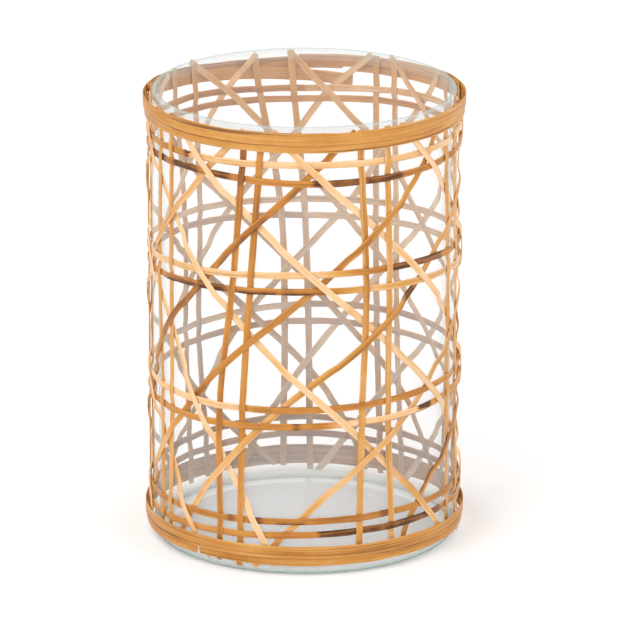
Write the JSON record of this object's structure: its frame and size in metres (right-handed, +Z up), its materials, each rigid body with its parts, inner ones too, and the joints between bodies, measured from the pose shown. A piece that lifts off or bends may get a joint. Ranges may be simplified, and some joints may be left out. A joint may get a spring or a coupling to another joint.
{
  "type": "candle hurricane",
  "caption": "Straight clear glass candle cylinder in an open woven cane sleeve that slides up off the glass.",
  "frame": {"origin": "middle of the glass base, on the surface that it stands on", "axes": "+Z up along the glass axis, -Y towards the front"},
  "size_m": [0.1608, 0.1613, 0.23],
  "materials": {
    "clear_glass": "clear fire-polished glass with a faint green edge",
    "band_cane": "flat split cane, tan, semi-gloss skin",
    "stake_cane": "flat split cane, warm tan",
    "hoop_cane": "flat split cane, amber with dark scorched stretches",
    "pale_cane": "flat split cane, pale, matt inner side out",
    "amber_cane": "flat split cane, pale to amber"
  },
  "bodies": {
    "glass": {"glass_vessel": "clear_glass"},
    "sleeve": {"top_band_upper": "band_cane", "top_band_lower": "band_cane", "foot_band_upper": "band_cane", "foot_band_lower": "band_cane", "stake_1a": "stake_cane", "stake_1b": "stake_cane", "stake_2a": "stake_cane", "stake_2b": "stake_cane", "stake_3a": "stake_cane", "stake_3b": "stake_cane", "stake_4a": "stake_cane", "stake_4b": "stake_cane", "stake_5a": "stake_cane", "stake_5b": "stake_cane", "stake_6a": "stake_cane", "stake_6b": "stake_cane", "stake_7a": "stake_cane", "stake_7b": "stake_cane", "stake_8a": "stake_cane", "stake_8b": "stake_cane", "stake_9a": "stake_cane", "stake_9b": "stake_cane", "hoop_1a": "hoop_cane", "hoop_1b": "hoop_cane", "hoop_2a": "hoop_cane", "hoop_2b": "hoop_cane", "hoop_3a": "hoop_cane", "hoop_3b": "hoop_cane", "hoop_4a": "hoop_cane", "hoop_4b": "hoop_cane", "falling_cane_1": "pale_cane", "falling_cane_2": "pale_cane", "falling_cane_3": "pale_cane", "falling_cane_4": "pale_cane", "falling_cane_5": "pale_cane", "falling_cane_6": "pale_cane", "falling_cane_7": "pale_cane", "falling_cane_8": "pale_cane", "falling_cane_9": "pale_cane", "rising_cane_1": "amber_cane", "rising_cane_2": "amber_cane", "rising_cane_3": "amber_cane", "rising_cane_4": "amber_cane", "rising_cane_5": "amber_cane", "rising_cane_6": "amber_cane", "rising_cane_7": "amber_cane", "rising_cane_8": "amber_cane", "rising_cane_9": "amber_cane"}
  },
  "joints": [
    {"name": "sleeve_slide", "type": "slide", "parent": "glass", "child": "sleeve", "axis": [0, 0, 1], "range_m": [0, 0.236]}
  ]
}
